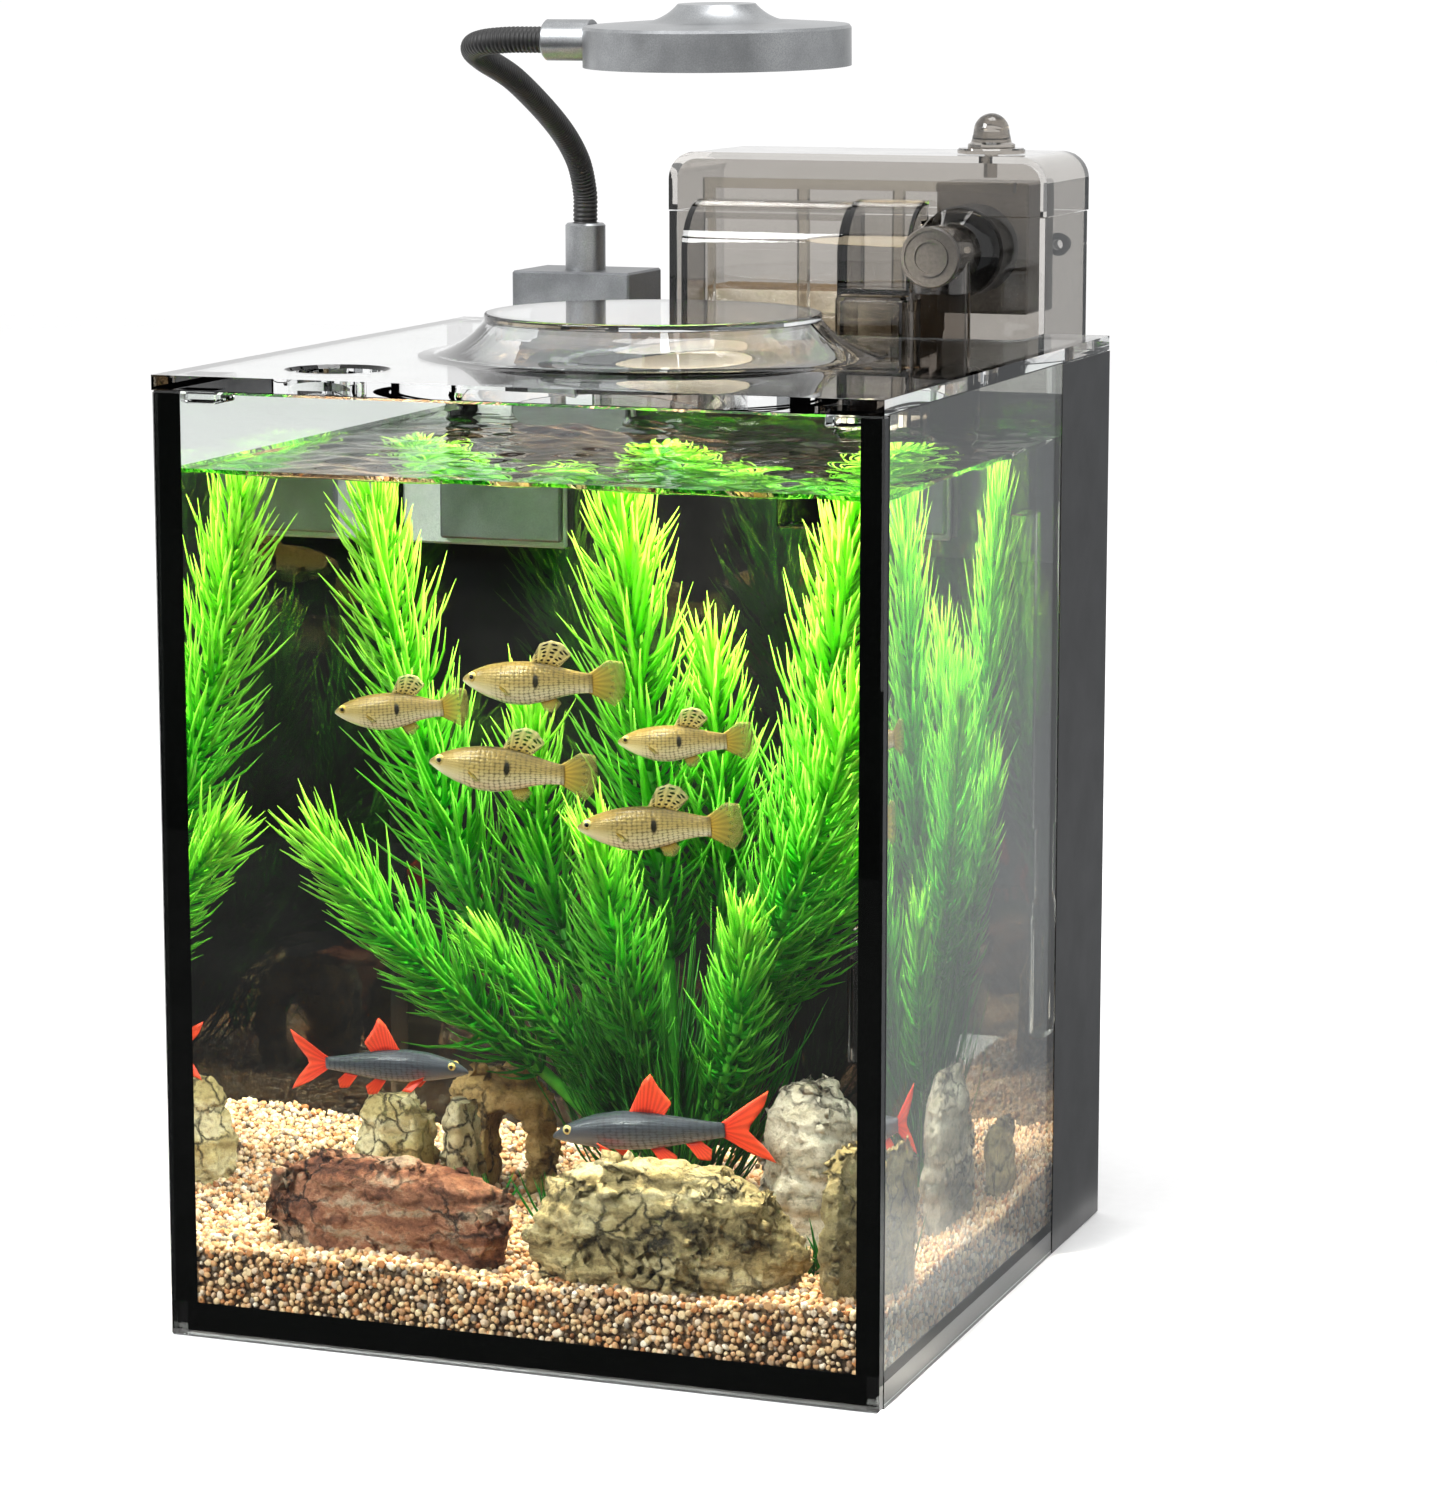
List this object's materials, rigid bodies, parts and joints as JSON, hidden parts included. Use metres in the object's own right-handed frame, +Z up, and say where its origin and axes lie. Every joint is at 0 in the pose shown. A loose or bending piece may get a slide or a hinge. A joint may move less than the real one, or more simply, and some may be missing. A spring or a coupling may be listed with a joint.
{
  "type": "desk-top aquarium",
  "caption": "Clear glass desk-top fish tank with planted gravel, a clear lid with a round hatch, a clamp-on gooseneck lamp and a hang-on-back filter.",
  "frame": {"origin": "middle of the tank's underside, which the tank stands on", "axes": "+Z up, -Y out of the tank's front pane, +X to the right seen from the front; the filter hangs on the +Y side"},
  "size_m": [0.2004, 0.255, 0.3525],
  "materials": {
    "pane_glass": "clear float glass with polished edges",
    "silicone": "glossy black silicone",
    "black_film": "matt black self-adhesive film",
    "lid_acrylic": "clear polished acrylic",
    "disc_acrylic": "clear acrylic with a mirror-like gloss",
    "clamp_aluminium": "satin anodised",
    "black_rubber": "matt moulded rubber",
    "screw_steel": "turned and nickel plated",
    "ferrule_aluminium": "turned and satin anodised",
    "hose_black": "ribbed black flexible hose",
    "head_aluminium": "bead blasted and anodised silver",
    "board_white": "white solder mask with light chips",
    "diffuser_opal": "opal acrylic",
    "smoke_plastic": "smoky clear moulded plastic",
    "knob_smoke": "smoky clear moulded plastic, ribbed",
    "tube_smoke": "smoky clear tube",
    "float_foam": "pale foamed plastic",
    "rotor_plastic": "dark moulded plastic",
    "shaft_ceramic": "ground white ceramic",
    "motor_plastic": "black potted housing",
    "frame_plastic": "pale tan moulded plastic",
    "filter_floss": "white felted floss",
    "filter_sponge": "open-cell tan sponge",
    "gravel": "small rounded natural gravel",
    "red_rock": "rough red-brown rock",
    "layered_rock": "layered brown and olive rock",
    "olive_rock": "rough rock with algae",
    "cream_rock": "cracked cream rock",
    "ochre_rock": "ochre rock",
    "grey_rock": "pale grey rock",
    "plant_stem": "soft green stems",
    "plant_leaf": "fine needle leaves"
  },
  "bodies": {
    "root": {"base_pane": "pane_glass", "front_pane": "pane_glass", "back_pane": "pane_glass", "left_pane": "pane_glass", "right_pane": "pane_glass", "corner_seals": "silicone", "base_seal": "silicone", "backing_film": "black_film", "clamp_body": "clamp_aluminium", "jaw_plate": "clamp_aluminium", "jaw_rubber": "black_rubber", "lamp_gland": "black_rubber", "filter_case": "smoke_plastic", "spout": "smoke_plastic", "valve_hood": "smoke_plastic", "filter_gland": "black_rubber", "rest_foot": "black_rubber", "intake_elbow": "tube_smoke", "elbow_cap": "tube_smoke", "intake_tube": "tube_smoke", "skimmer_box": "smoke_plastic", "rotor_housing": "rotor_plastic", "impeller_shaft": "shaft_ceramic", "motor_block": "motor_plastic", "media_frame": "frame_plastic", "floss_pad": "filter_floss", "bio_sponge": "filter_sponge", "gravel_bed": "gravel", "red_slab": "red_rock", "layered_stone": "layered_rock", "corner_stone": "olive_rock", "cream_stone": "cream_rock", "beige_stone": "cream_rock", "arch_stone": "ochre_rock", "grey_stone": "grey_rock", "tan_stone": "ochre_rock", "plant_stems": "plant_stem", "plume_centre": "plant_leaf", "plume_left": "plant_leaf", "plume_right": "plant_leaf", "plume_front": "plant_leaf", "plume_low": "plant_leaf"},
    "lid": {"lid_plate": "lid_acrylic", "lid_collar": "lid_acrylic", "locating_blocks": "lid_acrylic"},
    "cover_disc": {"cover_disc": "disc_acrylic"},
    "clamp_pad": {"clamp_pad": "black_rubber"},
    "clamp_screw": {"clamp_screw": "screw_steel"},
    "neck_base": {"lower_ferrule": "ferrule_aluminium"},
    "neck": {"gooseneck": "hose_black"},
    "head": {"head_ferrule": "ferrule_aluminium", "lamp_shell": "head_aluminium", "led_board": "board_white", "diffuser": "diffuser_opal"},
    "filter_cover": {"filter_cover": "smoke_plastic"},
    "flow_knob": {"flow_knob": "knob_smoke"},
    "intake_extension": {"inner_tube": "tube_smoke", "strainer": "tube_smoke"},
    "skimmer_float": {"skimmer_float": "float_foam"},
    "impeller": {"impeller": "rotor_plastic"}
  },
  "joints": [
    {"name": "lid_lift", "type": "slide", "parent": "root", "child": "lid", "axis": [0, 0, 1], "range_m": [0, 0.025]},
    {"name": "disc_lift", "type": "slide", "parent": "lid", "child": "cover_disc", "axis": [0, 0, 1], "range_m": [0, 0.02]},
    {"name": "pad_travel", "type": "slide", "parent": "root", "child": "clamp_pad", "axis": [0, 1, 0], "range_m": [0, 0.0035]},
    {"name": "screw_turn", "type": "hinge", "parent": "clamp_pad", "child": "clamp_screw", "pos_m": [-0.061, 0.11, 0.232], "axis": [0, 1, 0], "range_deg": [0, 1260]},
    {"name": "neck_turn", "type": "hinge", "parent": "root", "child": "neck_base", "pos_m": [-0.061, 0.103, 0.273], "axis": [0, 0, 1], "range_deg": [-30, 30]},
    {"name": "neck_lean", "type": "hinge", "parent": "neck_base", "child": "neck", "pos_m": [-0.061, 0.103, 0.29055], "axis": [-1, 0, 0], "range_deg": [-12, 25]},
    {"name": "head_tilt", "type": "hinge", "parent": "neck", "child": "head", "pos_m": [-0.03785, 0.0075, 0.3422], "axis": [0, -1, 0], "range_deg": [-20, 30]},
    {"name": "cover_lift", "type": "slide", "parent": "root", "child": "filter_cover", "axis": [0, 0, 1], "range_m": [0, 0.025]},
    {"name": "knob_turn", "type": "hinge", "parent": "filter_cover", "child": "flow_knob", "pos_m": [0.059, 0.12, 0.308], "axis": [0, 0, 1], "range_deg": [0, 270]},
    {"name": "intake_slide", "type": "slide", "parent": "root", "child": "intake_extension", "axis": [0, 0, -1], "range_m": [0, 0.02]},
    {"name": "float_bob", "type": "slide", "parent": "root", "child": "skimmer_float", "axis": [0, 0, 1], "range_m": [-0.004, 0.004], "stiffness_N_per_m": 2, "springref_m": 0.0065},
    {"name": "impeller_spin", "type": "hinge", "parent": "root", "child": "impeller", "pos_m": [0.054, 0.115, 0.2806], "axis": [0, 1, 0], "continuous": true}
  ],
  "couplings": [
    {"joint": "screw_turn", "follows": "pad_travel", "rad_per_m": 6283.2}
  ]
}
